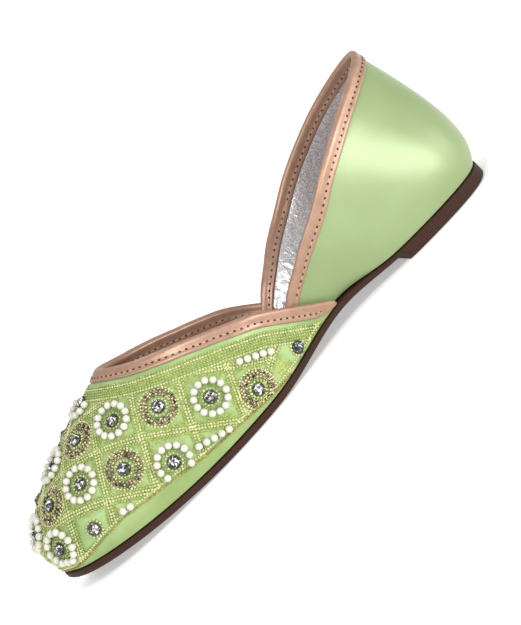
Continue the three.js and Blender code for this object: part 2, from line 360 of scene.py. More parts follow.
class Cloth:
    """Places on the vamp by their place on the flat cloth, measured along straight runs over the surface."""

    PITCH = 1.0 * MM
    WIDTH = 104
    AHEAD = 84
    BEHIND = 96

    def __init__(self, wall, start):
        self.wall = wall
        spot, normal = wall.outer.find_nearest(start)[:2]
        self.lines = {}
        for side in (1, -1):
            across = self.walk(spot, Vector((side, 0, 0)), self.WIDTH)
            for number, (point, run) in enumerate(across):
                normal = wall.outer.find_nearest(point)[1]
                back = normal.cross(run) * side
                forward_half = self.walk(point, -back, self.AHEAD)[:0:-1]
                self.lines[side * number] = [p for p, _ in forward_half] + [
                    p for p, _ in self.walk(point, back, self.BEHIND)]
        self.finder = KDTree(len(self.lines) * (self.AHEAD + self.BEHIND + 1))
        self.labels = []
        for number, line in self.lines.items():
            for row, point in enumerate(line):
                self.finder.insert(point, len(self.labels))
                self.labels.append((number, row))
        self.finder.balance()

    def walk(self, point, run, count):
        """Points and headings of a straight run over the surface, one pitch apart."""
        run = run.normalized()
        places = [(point, run)]
        for _ in range(count):
            point, normal = self.wall.outer.find_nearest(point + run * self.PITCH)[:2]
            run = (run - normal * run.dot(normal)).normalized()
            places.append((point, run))
        return places

    def place(self, across, along):
        """The point on the surface for a place on the flat cloth."""
        column = min(max(across / self.PITCH, -self.WIDTH), self.WIDTH - 0.001)
        row = min(max(along / self.PITCH + self.AHEAD, 0), self.AHEAD + self.BEHIND - 1.001)
        left, low = int(np.floor(column)), int(row)
        near = [self.lines[left][low].lerp(self.lines[left][low + 1], row - low),
                self.lines[left + 1][low].lerp(self.lines[left + 1][low + 1], row - low)]
        return near[0].lerp(near[1], column - left)

    def stand_at(self, across, along, lift=0.0):
        point = self.place(across, along)
        spot, normal = self.wall.outer.find_nearest(point)[:2]
        ahead = self.place(across + self.PITCH, along) - self.place(across - self.PITCH, along)
        return stand(spot, normal, ahead, lift)

    def holds(self, across, along):
        """True where the cloth lies on the vamp, so that a place and its point answer each other."""
        if abs(across) > (self.WIDTH - 2) * MM or not -(self.AHEAD - 2) * MM < along < (self.BEHIND - 4) * MM:
            return False
        back_across, back_along = self.flat(self.place(across, along))
        return abs(back_across - across) + abs(back_along - along) < 3 * MM

    def flat(self, point):
        """The place on the flat cloth of a point near the surface."""
        number, row = self.labels[self.finder.find(point)[1]]
        line = self.lines[number]
        here = line[row]
        along = (line[min(row + 1, len(line) - 1)] - line[max(row - 1, 0)]).normalized()
        beside = self.lines[min(number + 1, self.WIDTH)][row] - self.lines[max(number - 1, -self.WIDTH)][row]
        offset = point - here
        return (number * self.PITCH + offset.dot(beside.normalized()),
                (row - self.AHEAD) * self.PITCH + offset.dot(along))


# Materials

def linear(hex_code):
    """An sRGB hex colour as linear red, green, blue and alpha."""
    channels = [int(hex_code[i:i + 2], 16) / 255 for i in (1, 3, 5)]
    return tuple(c / 12.92 if c <= 0.04045 else ((c + 0.055) / 1.055) ** 2.4 for c in channels) + (1,)


def finish_named(name, roughness, metallic=0.0, **sockets):
    """A material with its Principled shader set. Socket names have underscores for spaces."""
    finish = bpy.data.materials.new(name)
    finish.use_nodes = True
    shader = finish.node_tree.nodes["Principled BSDF"]
    shader.inputs["Roughness"].default_value = roughness
    shader.inputs["Metallic"].default_value = metallic
    for socket, value in sockets.items():
        shader.inputs[socket.replace("_", " ")].default_value = value
    return finish


def add(finish, kind, links=None, **settings):
    """Adds a node. A setting named in_ and a number sets that input, and any other a property."""
    node = finish.node_tree.nodes.new(kind)
    for key, value in settings.items():
        if key.startswith("in_"):
            node.inputs[int(key[3:])].default_value = value
        else:
            setattr(node, key, value)
    for socket, source in (links or {}).items():
        finish.node_tree.links.new(source, node.inputs[socket])
    return node


def wire(finish, socket, source):
    finish.node_tree.links.new(source, finish.node_tree.nodes["Principled BSDF"].inputs[socket])


def object_place(finish, scale=(1, 1, 1)):
    coordinates = add(finish, "ShaderNodeTexCoord")
    return add(finish, "ShaderNodeMapping", {0: coordinates.outputs["Object"]}, in_3=scale).outputs[0]


def two_tones(finish, pattern, low, high, start=0.35, end=0.65):
    """A colour that goes from one tone to the other while the pattern goes from start to end."""
    share = add(finish, "ShaderNodeMapRange", {0: pattern}, in_1=start, in_2=end)
    blend = add(finish, "ShaderNodeMix", {0: share.outputs[0]}, data_type="RGBA",
                in_6=linear(low), in_7=linear(high))
    return blend.outputs[2]


def plain_satin():
    """Woven polyester satin: long floats give a broad soft gloss in its own colour over a fine weave."""
    finish = finish_named("plain_satin", 0.36, 0.2, Sheen_Weight=0.1, Sheen_Roughness=0.4,
                          Sheen_Tint=linear("#EDF5D0"), Specular_IOR_Level=1.0)
    place = object_place(finish)
    clouds = add(finish, "ShaderNodeTexNoise", {0: place}, in_2=28.0, in_3=3.0)
    wire(finish, "Base Color", two_tones(finish, clouds.outputs[0], "#869864", "#90A56F"))
    # Threads are 0.1 mm apart, drawn at 0.6 mm so that they show
    threads = add(finish, "ShaderNodeTexWave", {0: place}, bands_direction="Z",
                  in_1=ONE_BAND / (0.6 * MM), in_2=0.6, in_3=2.0)
    pulls = add(finish, "ShaderNodeTexNoise", {0: object_place(finish, (1, 1, 5))}, in_2=50.0, in_3=2.0)
    slack = add(finish, "ShaderNodeBump", {"Height": pulls.outputs[0]}, in_0=0.03, in_1=0.5 * MM)
    weave = add(finish, "ShaderNodeBump", {"Height": threads.outputs[1], "Normal": slack.outputs[0]},
                in_0=0.3, in_1=0.05 * MM)
    wire(finish, "Normal", weave.outputs[0])
    return finish


def embroidered_satin():
    """The same satin quilted down by embroidery: glossy in the cells, and thread beside the lines, with
    painted shade beside the lines and on the hem.
    """
    finish = finish_named("embroidered_satin", 0.45, 0.1, Sheen_Weight=0.15, Sheen_Roughness=0.4,
                          Sheen_Tint=linear("#EDF5D0"))
    chart_map = add(finish, "ShaderNodeUVMap", uv_map="chart")
    parts = add(finish, "ShaderNodeSeparateXYZ", {0: chart_map.outputs[0]})
    distances = []
    for operation in ("ADD", "SUBTRACT"):
        run = add(finish, "ShaderNodeMath", {0: parts.outputs[0], 1: parts.outputs[1]}, operation=operation)
        half = add(finish, "ShaderNodeMath", {0: run.outputs[0]}, operation="MULTIPLY_ADD",
                   in_1=0.5, in_2=0.5)
        cycle = add(finish, "ShaderNodeMath", {0: half.outputs[0]}, operation="PINGPONG", in_1=0.5)
        distances.append(cycle.outputs[0])
    closer = add(finish, "ShaderNodeMath", {0: distances[0], 1: distances[1]}, operation="MINIMUM")
    nearest = closer.outputs[0]
    inside = add(finish, "ShaderNodeAttribute", attribute_name="inside").outputs["Fac"]
    border = add(finish, "ShaderNodeAttribute", attribute_name="border").outputs["Fac"]
    # The ground is worked about 2 mm to each side of a line, whose cells are 20 mm wide, with a ragged edge
    patches = add(finish, "ShaderNodeTexNoise", {0: object_place(finish)}, in_2=240.0, in_3=3.0)
    ragged = add(finish, "ShaderNodeMath", {0: patches.outputs[0], 2: nearest}, operation="MULTIPLY_ADD",
                 in_1=-0.22)
    beside_line = add(finish, "ShaderNodeMapRange", {0: ragged.outputs[0]},
                      in_1=-0.02, in_2=0.09, in_3=1.0, in_4=0.0)
    worked = add(finish, "ShaderNodeMath", {0: beside_line.outputs[0], 1: inside}, operation="MULTIPLY")
    ground = add(finish, "ShaderNodeMath", {0: worked.outputs[0], 1: border}, operation="MAXIMUM")
    clouds = add(finish, "ShaderNodeTexNoise", {0: object_place(finish)}, in_2=60.0, in_3=3.0)
    bright = two_tones(finish, clouds.outputs[0], "#93AB6E", "#A4BC80")
    # Painted shade: below the embroidery the cloth is drawn a shade deeper towards the bottom, from 18 mm
    # high down to 10 mm.
    hem = two_tones(finish, clouds.outputs[0], "#839859", "#92A768")
    height = add(finish, "ShaderNodeSeparateXYZ", {0: object_place(finish)}).outputs[2]
    low = add(finish, "ShaderNodeMapRange", {0: height}, in_1=10 * MM, in_2=18 * MM, in_3=1.0, in_4=0.0)
    open_cloth = add(finish, "ShaderNodeMath", {1: inside}, operation="SUBTRACT", in_0=1.0)
    turned = add(finish, "ShaderNodeMath", {0: low.outputs[0], 1: open_cloth.outputs[0]},
                 operation="MULTIPLY")
    cloth = add(finish, "ShaderNodeMix", {0: turned.outputs[0], 6: bright, 7: hem}, data_type="RGBA")
    satin = cloth.outputs[2]
    grains = add(finish, "ShaderNodeTexVoronoi", {0: object_place(finish)}, in_2=1 / (0.95 * MM))
    thread = two_tones(finish, grains.outputs[0], "#B4C373", "#7E964A", 0.1, 0.75)
    # Painted shade beside the lines: this darker olive stands in for the quilt's shade there, mixed with the
    # thread's own colour.
    shade = two_tones(finish, patches.outputs[0], "#B6BD6B", "#869E4B", 0.4, 0.6)
    mixed = add(finish, "ShaderNodeMix", {6: thread, 7: shade}, data_type="RGBA", in_0=0.45)
    colour = add(finish, "ShaderNodeMix", {0: ground.outputs[0], 6: satin, 7: mixed.outputs[2]},
                 data_type="RGBA")
    wire(finish, "Base Color", colour.outputs[2])
    quilt = add(finish, "ShaderNodeMapRange", {0: nearest}, in_1=0.0, in_2=0.28,
                interpolation_type="SMOOTHSTEP")
    puff = add(finish, "ShaderNodeMath", {0: quilt.outputs[0], 1: inside}, operation="MULTIPLY")
    quilted = add(finish, "ShaderNodeBump", {"Height": puff.outputs[0]}, in_0=0.7, in_1=1.4 * MM)
    height = add(finish, "ShaderNodeMath", {0: grains.outputs[0], 1: ground.outputs[0]}, operation="MULTIPLY")
    tufted = add(finish, "ShaderNodeBump", {"Height": height.outputs[0], "Normal": quilted.outputs[0]},
                 in_0=0.7, in_1=-0.6 * MM)
    wire(finish, "Normal", tufted.outputs[0])
    return finish


def foiled_leather(name, low, high, roughness=0.36, metallic=0.4):
    """Foiled sheep leather: foil over a fine grain, so a soft metallic gloss that breaks in its pores."""
    finish = finish_named(name, roughness, metallic)
    place = object_place(finish)
    clouds = add(finish, "ShaderNodeTexNoise", {0: place}, in_2=260.0, in_3=4.0)
    wire(finish, "Base Color", two_tones(finish, clouds.outputs[0], low, high, 0.3, 0.7))
    # Pores are 0.2 mm apart, drawn at 0.8 mm so that they show
    grain = add(finish, "ShaderNodeTexVoronoi", {0: place}, in_2=1 / (0.8 * MM))
    pores = add(finish, "ShaderNodeBump", {"Height": grain.outputs[0]}, in_0=0.4, in_1=0.08 * MM)
    wire(finish, "Normal", pores.outputs[0])
    return finish


def crushed_silver():
    """Crushed foil lining: a thin metal film whose creases glitter, smoother and greyer at the top."""
    finish = finish_named("crushed_silver", 0.3, 0.8)
    place = object_place(finish)
    height = add(finish, "ShaderNodeSeparateXYZ", {0: place}).outputs[2]
    low = add(finish, "ShaderNodeMapRange", {0: height}, in_1=12 * MM, in_2=34 * MM, in_3=1.0, in_4=0.12)
    creases = add(finish, "ShaderNodeTexVoronoi", {0: object_place(finish, (1, 1, 0.35))},
                  feature="DISTANCE_TO_EDGE", in_2=1 / (3.2 * MM))
    deep = add(finish, "ShaderNodeMath", {0: creases.outputs[0], 1: low.outputs[0]}, operation="MULTIPLY")
    fine = add(finish, "ShaderNodeTexNoise", {0: place}, in_2=1500.0, in_3=3.0)
    wire(finish, "Base Color", two_tones(finish, fine.outputs[0], "#C2BEC1", "#F8F7F9"))
    crinkle = add(finish, "ShaderNodeBump", {"Height": deep.outputs[0]}, in_0=0.85, in_1=2.2 * MM)
    glitter = add(finish, "ShaderNodeBump", {"Height": fine.outputs[0], "Normal": crinkle.outputs[0]},
                  in_0=0.7, in_1=0.25 * MM)
    wire(finish, "Normal", glitter.outputs[0])
    return finish


def moulded_sole():
    """Injection moulded polyurethane: matt dark brown, with fine ribs up its edge and a faint skin."""
    finish = finish_named("moulded_sole", 0.6, Specular_IOR_Level=0.18)
    place = object_place(finish)
    # The ribs are 0.95 mm apart, across the shoe at the heel's back and along it at the sides
    ribs = []
    for direction in ("X", "Y"):
        rib = add(finish, "ShaderNodeTexWave", {0: place}, bands_direction=direction,
                  in_1=ONE_BAND / (0.95 * MM))
        ribs.append(rib.outputs[1])
    facing = add(finish, "ShaderNodeNewGeometry").outputs["Normal"]
    parts = add(finish, "ShaderNodeSeparateXYZ", {0: facing})
    sideways = add(finish, "ShaderNodeMath", {0: parts.outputs[0]}, operation="ABSOLUTE")
    blend = add(finish, "ShaderNodeMapRange", {0: sideways.outputs[0]}, in_1=0.55, in_2=0.8)
    rib = add(finish, "ShaderNodeMix", {0: blend.outputs[0], 2: ribs[0], 3: ribs[1]})
    clouds = add(finish, "ShaderNodeTexNoise", {0: place}, in_2=90.0, in_3=4.0)
    # The colour follows the ribs as well as a random mottle: lighter on their crests and darker between them,
    # painted shade of the ribs.
    mottle_and_rib_shade = add(finish, "ShaderNodeMath", {0: clouds.outputs[0], 2: rib.outputs[0]},
               operation="MULTIPLY_ADD", in_1=0.6)
    wire(finish, "Base Color", two_tones(finish, mottle_and_rib_shade.outputs[0], "#281712", "#42291F", 0.3, 1.0))
    skin = add(finish, "ShaderNodeTexNoise", {0: place}, in_2=1400.0, in_3=2.0)
    ribbed = add(finish, "ShaderNodeBump", {"Height": rib.outputs[0]}, in_0=0.6, in_1=0.2 * MM)
    matt = add(finish, "ShaderNodeBump", {"Height": skin.outputs[0], "Normal": ribbed.outputs[0]},
               in_0=0.3, in_1=0.1 * MM)
    wire(finish, "Normal", matt.outputs[0])
    return finish


def pearl_glaze():
    """Imitation pearl: a plastic bead under a nacre coat, so a milky body and a small sharp highlight."""
    finish = finish_named("pearl_glaze", 0.25, Coat_Weight=1.0, Coat_Roughness=0.08)
    clouds = add(finish, "ShaderNodeTexNoise", {0: object_place(finish)}, in_2=300.0)
    wire(finish, "Base Color", two_tones(finish, clouds.outputs[0], "#CCCABA", "#DBD9CC"))
    return finish


def sorted_beads(name, low, high, roughness, metallic):
    """Small pressed beads or tight stitches, each a little different from the next."""
    finish = finish_named(name, roughness, metallic, Coat_Weight=0.3)
    grid = add(finish, "ShaderNodeVectorMath", {0: object_place(finish)},
               operation="SNAP", in_1=(1.1 * MM,) * 3)
    each = add(finish, "ShaderNodeTexWhiteNoise", {0: grid.outputs[0]})
    wire(finish, "Base Color", two_tones(finish, each.outputs[0], low, high, 0.05, 0.95))
    return finish


def cut_glass():
    """Smoked glass on foil, with painted reflections: each facet gets its own colour, from black to white,
    standing in for the part of the room it would show.
    """
    finish = finish_named("smoked_glass", 0.08, 0.0, Coat_Weight=1.0, Coat_Roughness=0.03)
    facet = add(finish, "ShaderNodeNewGeometry").outputs["True Normal"]
    each = add(finish, "ShaderNodeTexWhiteNoise", {0: facet})
    ramp = add(finish, "ShaderNodeValToRGB", {0: each.outputs[0]})
    ramp.color_ramp.interpolation = "CONSTANT"
    # Painted reflections and glints: the facets' colours run from the glass's dark smoke to white.
    smoke_and_painted_reflections = ((0.0, "#0E0E11"), (0.42, "#3B3A3D"), (0.62, "#8C8B8E"), (0.78, "#FFFFFF"))
    for position, tone in smoke_and_painted_reflections[1:-1]:
        ramp.color_ramp.elements.new(position).color = linear(tone)
    ramp.color_ramp.elements[0].color = linear(smoke_and_painted_reflections[0][1])
    ramp.color_ramp.elements[-1].position = smoke_and_painted_reflections[-1][0]
    ramp.color_ramp.elements[-1].color = linear(smoke_and_painted_reflections[-1][1])
    wire(finish, "Base Color", ramp.outputs[0])
    return finish


def needle_hole_shade():
    """The inside of a needle hole in the leather: dull, and dark as painted shade in the hole."""
    finish = finish_named("needle_hole_shade", 0.85)
    specks = add(finish, "ShaderNodeTexNoise", {0: object_place(finish)}, in_2=900.0)
    wire(finish, "Base Color", two_tones(finish, specks.outputs[0], "#38211A", "#59392B"))
    return finish


# Pattern pieces of the bead work

def ball(size, flat=1.0, long=1.0, detail=2):
    bpy.ops.mesh.primitive_ico_sphere_add(subdivisions=detail, radius=size / 2)
    bead = bpy.context.object
    bpy.ops.object.mode_set(mode="EDIT")
    bpy.ops.transform.resize(value=(long, 1, flat))
    bpy.ops.object.mode_set(mode="OBJECT")
    return bead


def cut_stone():
    """A rose cut stone: a low faceted dome over a short girdle."""
    bpy.ops.mesh.primitive_cylinder_add(vertices=9, radius=STONE / 2, depth=0.7 * MM)
    stone = bpy.context.object
    bpy.ops.object.mode_set(mode="EDIT")
    bpy.ops.mesh.select_all(action="DESELECT")
    bpy.ops.object.mode_set(mode="OBJECT")
    for face in stone.data.polygons:
        face.select = face.normal.z > 0.9
    bpy.ops.object.mode_set(mode="EDIT")
    bpy.ops.mesh.extrude_region_move(TRANSFORM_OT_translate={"value": (0, 0, 0.8 * MM)})
    bpy.ops.transform.resize(value=(0.62, 0.62, 1))
    bpy.ops.mesh.extrude_region_move(TRANSFORM_OT_translate={"value": (0, 0, 0.35 * MM)})
    bpy.ops.transform.resize(value=(0.3, 0.3, 1))
    bpy.ops.object.mode_set(mode="OBJECT")
    return stone


def ring(radius, wire_size, turns=18):
    bpy.ops.mesh.primitive_torus_add(major_radius=radius, minor_radius=wire_size / 2,
                                     major_segments=turns, minor_segments=5)
    return bpy.context.object


# Where the bead work goes

def around(centre, radius, count, lift, first):
    """Places on a ring round a flower's middle on the vamp, the first turned by so much of a step."""
    places = []
    for number in range(count):
        angle = 2 * pi * (number + first) / count
        point = centre @ Vector((radius * cos(angle), radius * sin(angle), 0))
        spot, normal = vamp_wall.outer.find_nearest(point)[:2]
        places.append(stand(spot, normal, centre.to_3x3() @ Vector((-sin(angle), cos(angle), 0)), lift))
    return places


def inside_cloth(point, rim=0.0):
    """True where a bead can sit: clear of the top border and of the hem."""
    return (vamp_wall.from_top(point) > BORDER_END + rim
            and vamp_wall.from_foot(point) > hem_width(point) + 0.8 * MM + rim)


def hem_width(point):
    return float(np.interp(point.y, HEM_PLACES, HEM_WIDTHS))


def column_place(column):
    return column * (FIRST_COLUMN + COLUMN_GROWTH * abs(column))


def row_place(column, row):
    return FIRST_ROW - ROW_DROP * abs(column) + row * ROW_STEP


def chart_place(across, along):
    """The column and row, with parts of one, of a place on the flat cloth."""
    root = (FIRST_COLUMN**2 + 4 * COLUMN_GROWTH * abs(across)) ** 0.5
    column = (root - FIRST_COLUMN) / (2 * COLUMN_GROWTH)
    row = (along - FIRST_ROW + ROW_DROP * column) / ROW_STEP
    return (column if across >= 0 else -column), row


def chart():
    """Every flower's kind and its middle's place on the cloth, on both sides of the ridge."""
    for column, rows in FLOWERS.items():
        for row, kind in rows.items():
            for side in ((1,) if column == 0 else (1, -1)):
                yield kind, side * column_place(column), row_place(column, row)


def bead_work():
    beads = {kind: [] for kind in ("pearls", "bronze", "pale", "leaf", "stones", "settings", "claws")}
    flowers = [(kind, cloth.stand_at(across, along)) for kind, across, along in chart()]
    for side in (1, -1):
        flowers += [("stone", place) for place in wing_places(side, *WING_STONE, 1)]
        beads["pearls"] += wing_places(side, *WING_ROW, 5)
    for kind, centre in flowers:
        beads["stones"].append(centre @ Matrix.Translation((0, 0, 1.0 * MM)))
        beads["settings"].append(centre @ Matrix.Translation((0, 0, 0.9 * MM)))
        beads["claws"] += around(centre, STONE * 0.52, 4, 1.5 * MM, 0.5)
        for bead, radius, count, lift, first in (STONE_RING, *FLOWER_RINGS[kind]):
            places = around(centre, radius, count, lift, first)
            beads[bead] += [place for place in places if inside_cloth(place.translation)]
    for across, along, slant, count in SHORT_ROWS:
        for side in (1, -1):
            beads["pearls"] += pearl_row(side, across, along, slant, count)
    for bead, turn in (("bronze", 40), ("pale", 30), ("leaf", 30)):
        beads[bead] = loosen(beads[bead], turn, 0.16 * MM)
    return beads


def wing_places(side, below, middle, count):
    """Places on a wing in a row along its top edge, lifted for pearls but not for a single stone."""
    line = slide(vamp_wall.top, vamp_wall.outer, below * vamp_wall.downward)
    line = even_line([point for point in line if point.x * side > 0], PEARL_PITCH)
    nearest = min(range(len(line)), key=lambda i: abs(line[i].y - middle))
    first = max(0, nearest - count // 2)
    lift = PEARL_SEAT if count > 1 else 0
    places = []
    for i in range(first, first + count):
        spot, normal = vamp_wall.outer.find_nearest(line[i])[:2]
        places.append(stand(spot, normal, line[i + 1] - line[i], lift))
    return places


def pearl_row(side, across, along, slant, count):
    places = []
    for number in range(count):
        step = (number - (count - 1) / 2) * PEARL_PITCH
        from_ridge = across + step * cos(slant)
        places.append(cloth.stand_at(side * from_ridge, along + step * sin(slant), PEARL_SEAT))
    return places


def loosen(places, turn, shift):
    """Hand work is never quite even: each place turned by up to so many degrees and moved a little."""
    chance = np.random.default_rng(len(places))
    loose = []
    for place in places:
        x, y, lift = chance.uniform(-shift, shift, 3)
        angle = radians(chance.uniform(-turn, turn))
        loose.append(place @ Matrix.Translation((x, y, lift * 0.5)) @ Matrix.Rotation(angle, 4, "Z"))
    return loose


def lattice_lines():
    """The slanting lines between the flowers, both ways, as lines on the vamp."""
    for lean in (1, -1):
        for number in range(-15, 16, 2):
            run = []
            for step in range(-48, 49):
                column = step / 8
                across = column_place(column)
                along = row_place(column, number - lean * column)
                if cloth.holds(across, along):
                    run.append(cloth.place(across, along))
                elif len(run) > 2:
                    yield even_line(run, STITCH)
                    run = []
            if len(run) > 2:
                yield even_line(run, STITCH)


def beside(line, surface, offset):
    """The line moved sideways over a surface."""
    moved = []
    for i, point in enumerate(line):
        run = line[min(i + 1, len(line) - 1)] - line[max(i - 1, 0)]
        normal = surface.find_nearest(point)[1]
        moved.append(point + run.cross(normal).normalized() * offset)
    return moved


def sewn(lines, offsets, lift):
    """Stitch places along lines over the vamp, each beside its line, where there is room for them."""
    places = []
    for line in lines:
        for offset in offsets:
            places += row_places(beside(line, vamp_wall.outer, offset), vamp_wall.outer, lift, STITCH)
    return loosen([place for place in places if inside_cloth(place.translation)], 14, 0.12 * MM)


# The pieces

def build_vamp():
    piece = supple_copy("vamp", "embroidered_vamp", 2)
    mesh = piece.data
    chart_map = mesh.uv_layers.new(name="chart")
    inside = mesh.attributes.new("inside", "FLOAT", "POINT")
    border = mesh.attributes.new("border", "FLOAT", "POINT")
    soft_edge = 0.7 * MM
    places = []
    for vertex in mesh.vertices:
        places.append(chart_place(*cloth.flat(vertex.co)))
        top = vamp_wall.from_top(vertex.co)
        hem = vamp_wall.from_foot(vertex.co) - hem_width(vertex.co)
        inside.data[vertex.index].value = min(1, max(0, min(top - BORDER_START, hem) / soft_edge))
        rows = min(top - BORDER_START, BORDER_END - top, hem)
        border.data[vertex.index].value = min(1, max(0, rows / soft_edge))
    for loop in mesh.loops:
        chart_map.data[loop.index].uv = places[loop.vertex_index]
    satin = embroidered_satin()
    # The brown lining is drawn darker than the leather's own colour, as painted shade inside the throat.
    lining = foiled_leather("vamp_lining_and_painted_shade", "#5C3B2E", "#74503F", 0.5)
    dress(piece, satin, lining, slot="vamp_satin")
    line_inside(piece, vamp_wall)
    smooth(piece)


def line_inside(piece, wall):
    """Gives the faces that look into the shoe the lining, which is the second finish."""
    for face in piece.data.polygons:
        if wall.inner.find_nearest(face.center)[3] < wall.outer.find_nearest(face.center)[3]:
            face.material_index = 1


def build_quarter():
    piece = supple_copy("quarter", "satin_quarter", 2)
    dress(piece, plain_satin(), crushed_silver(), slot="quarter_satin")
    line_inside(piece, quarter_wall)
    smooth(piece)


def build_bindings():
    leather = foiled_leather("rose_gold_binding", "#A37F6B", "#B18D77")
    for node, wall in (("vamp_binding", vamp_wall), ("quarter_binding", quarter_wall)):
        piece = supple_copy(node, node + "_leather", 2, crease=False)
        press_seam(piece, wall)
        dress(piece, leather, slot="binding_leather")
        smooth(piece, 60)


def press_seam(piece, wall):
    """Fills the tape's fold over the edge, and pulls the tape in along its stitches as the thread does."""
    mesh = piece.data
    normals = [vertex.normal.copy() for vertex in mesh.vertices]
    for vertex, normal in zip(mesh.vertices, normals):
        down = wall.from_top(vertex.co)
        pulled = 0.24 * MM * float(np.exp(-((down - TAPE_SEAM) / (0.8 * MM))**2))
        filled = 0.3 * MM * float(np.exp(-((down - 0.6 * MM) / (1.1 * MM))**2))
        vertex.co += normal * (filled - pulled)


def build_tape_stitches():
    holes, threads = [], []
    for wall, node in ((vamp_wall, "vamp_binding"), (quarter_wall, "quarter_binding")):
        tape = surface_of(node)
        outside = slide(wall.top, wall.outer, wall.downward * TAPE_SEAM)
        inside = slide(wall.top, wall.inner, -wall.downward * TAPE_SEAM)
        for line, surface in ((outside, wall.outer), (inside, wall.inner)):
            line = even_line(line, TAPE_STITCH)
            seam = [on_tape(point, surface, tape) for point in line]
            for i, spot in enumerate(seam[1:-1], 1):
                if spot is None or seam[i - 1] is None or seam[i + 1] is None:
                    continue
                point, normal = spot
                holes.append(stand(point, normal, seam[i + 1][0] - seam[i - 1][0], -0.18 * MM))
                middle, way = (point + seam[i + 1][0]) / 2, seam[i + 1][0] - point
                threads.append(stand(middle, normal, way, -0.2 * MM))
    # Dark discs at the needle holes: painted shade where the holes are.
    pricks = strew("tape_needle_holes", ball(1.05 * MM, flat=0.45, long=1.25, detail=1), holes)
    dress(pricks, needle_hole_shade())
    smooth(pricks, 80)
    stitches = strew("tape_thread", ball(0.5 * MM, flat=0.8, long=3.6, detail=1), threads)
    dress(stitches, sorted_beads("tape_thread", "#BC9A84", "#CDAE98", 0.45, 0.1))
    smooth(stitches, 80)


def on_tape(point, surface, tape):
    """The point and normal of the tape's face over a point of the wall."""
    spot, normal = surface.find_nearest(point)[:2]
    hit = tape.ray_cast(spot + normal * 3 * MM, -normal, 4 * MM)
    return None if hit[0] is None else (hit[0], normal)


def build_bead_work():
    beads = bead_work()
    finishes = {
        "pearls": pearl_glaze(),
        "bronze": sorted_beads("bronze_seed", "#2E2319", "#D8C79C", 0.25, 0.6),
        "pale": sorted_beads("pale_seed", "#ADB56D", "#DEDEB4", 0.35, 0.15),
        "leaf": sorted_beads("leaf_seed", "#7F9A45", "#A9BF6C", 0.35, 0.1),
        "stones": cut_glass(),
        "settings": sorted_beads("oxidised_setting", "#24241D", "#615F4D", 0.35, 0.6),
        "claws": sorted_beads("bright_claw", "#A9A69A", "#E3E0D4", 0.2, 0.95),
    }
    patterns = {
        "pearls": lambda: ball(PEARL),
        "bronze": lambda: ball(SEED, flat=0.85),
        "pale": lambda: ball(SEED * 0.92, flat=0.7, detail=1),
        "leaf": lambda: ball(SEED * 0.9, flat=0.6, detail=1),
        "stones": cut_stone,
        "settings": lambda: ring(STONE * 0.56, 0.9 * MM),
        "claws": lambda: ball(0.8 * MM, detail=1),
    }
    for kind, places in beads.items():
        name = kind + ("_sewn_on" if kind in ("pearls", "stones") else "_beads")
        piece = strew(name, patterns[kind](), places)
        dress(piece, finishes[kind])
        if kind != "stones":
            smooth(piece, 80)


def build_threads():
    lines = list(lattice_lines())
    pale = sewn(lines, (-0.65 * MM, 0.65 * MM), 0.25 * MM) + sewn_rows(rows_below(PALE_ROWS))
    leaf = sewn(lines, (-1.75 * MM, 1.75 * MM), 0.05 * MM) + sewn_rows(rows_below(LEAF_ROWS))
    hem = hem_line()
    gold = sewn_rows([hem], at_hem=True)
    pale += sewn_rows([slide(hem, vamp_wall.outer, -1.5 * MM * vamp_wall.downward)], at_hem=True)
    for name, places, size, finish in (
            ("pale_stitching", pale, 1.25, sorted_beads("pale_zari", "#B2BA72", "#DCDDAE", 0.4, 0.15)),
            ("leaf_stitching", leaf, 1.15, sorted_beads("leaf_thread", "#93A653", "#B2BF7B", 0.5, 0.0)),
            ("gold_hem_stitching", gold, 1.1, sorted_beads("gold_thread", "#8E7528", "#BBA653", 0.45, 0.3))):
        piece = strew(name, ball(size * MM, flat=0.45, long=1.05, detail=1), places)
        dress(piece, finish)
        smooth(piece, 80)


def rows_below(distances):
    """Lines on the vamp that follow its top edge, each so far below it."""
    return [slide(vamp_wall.top, vamp_wall.outer, distance * vamp_wall.downward) for distance in distances]


def sewn_rows(rows, at_hem=False):
    places = [place for row in rows for place in row_places(row, vamp_wall.outer, 0.2 * MM, STITCH)]
    room = -0.5 * MM if at_hem else 0.4 * MM
    return [place for place in places
            if vamp_wall.from_foot(place.translation) > hem_width(place.translation) + room
            and (not at_hem or vamp_wall.from_foot(place.translation) > 0.8 * MM)
            and vamp_wall.from_top(place.translation) > BORDER_START - 0.3 * MM]


def hem_line():
    """The line of the embroidery's lower edge, up from the foot by the hem's own width at each place."""
    line = [vamp_wall.outer.find_nearest(point)[0] for point in vamp_wall.foot]
    widest = max(HEM_WIDTHS)
    steps = 8
    for _ in range(steps):
        moved = []
        for i, point in enumerate(line):
            run = line[min(i + 1, len(line) - 1)] - line[max(i - 1, 0)]
            normal = vamp_wall.outer.find_nearest(point)[1]
            up = run.cross(normal).normalized() * -vamp_wall.downward
            share = hem_width(vamp_wall.foot[i]) / widest
            moved.append(vamp_wall.outer.find_nearest(point + up * share * widest / steps)[0])
        line = moved
    return line


def build_insole():
    edge = supple_copy("insole", "rolled_insole", 2)
    dress(edge, foiled_leather("bronze_leather", "#8E6B54", "#9B765E", 0.4), slot="rolled_edge_leather")
    smooth(edge, 60)
    panel = supple_copy("sock_panel", "sock_leather_panel", 1)
    dress(panel, foiled_leather("sock_leather", "#CDB2A6", "#D6BDB1", 0.45, 0.1), slot="sock_leather")
    smooth(panel, 60)


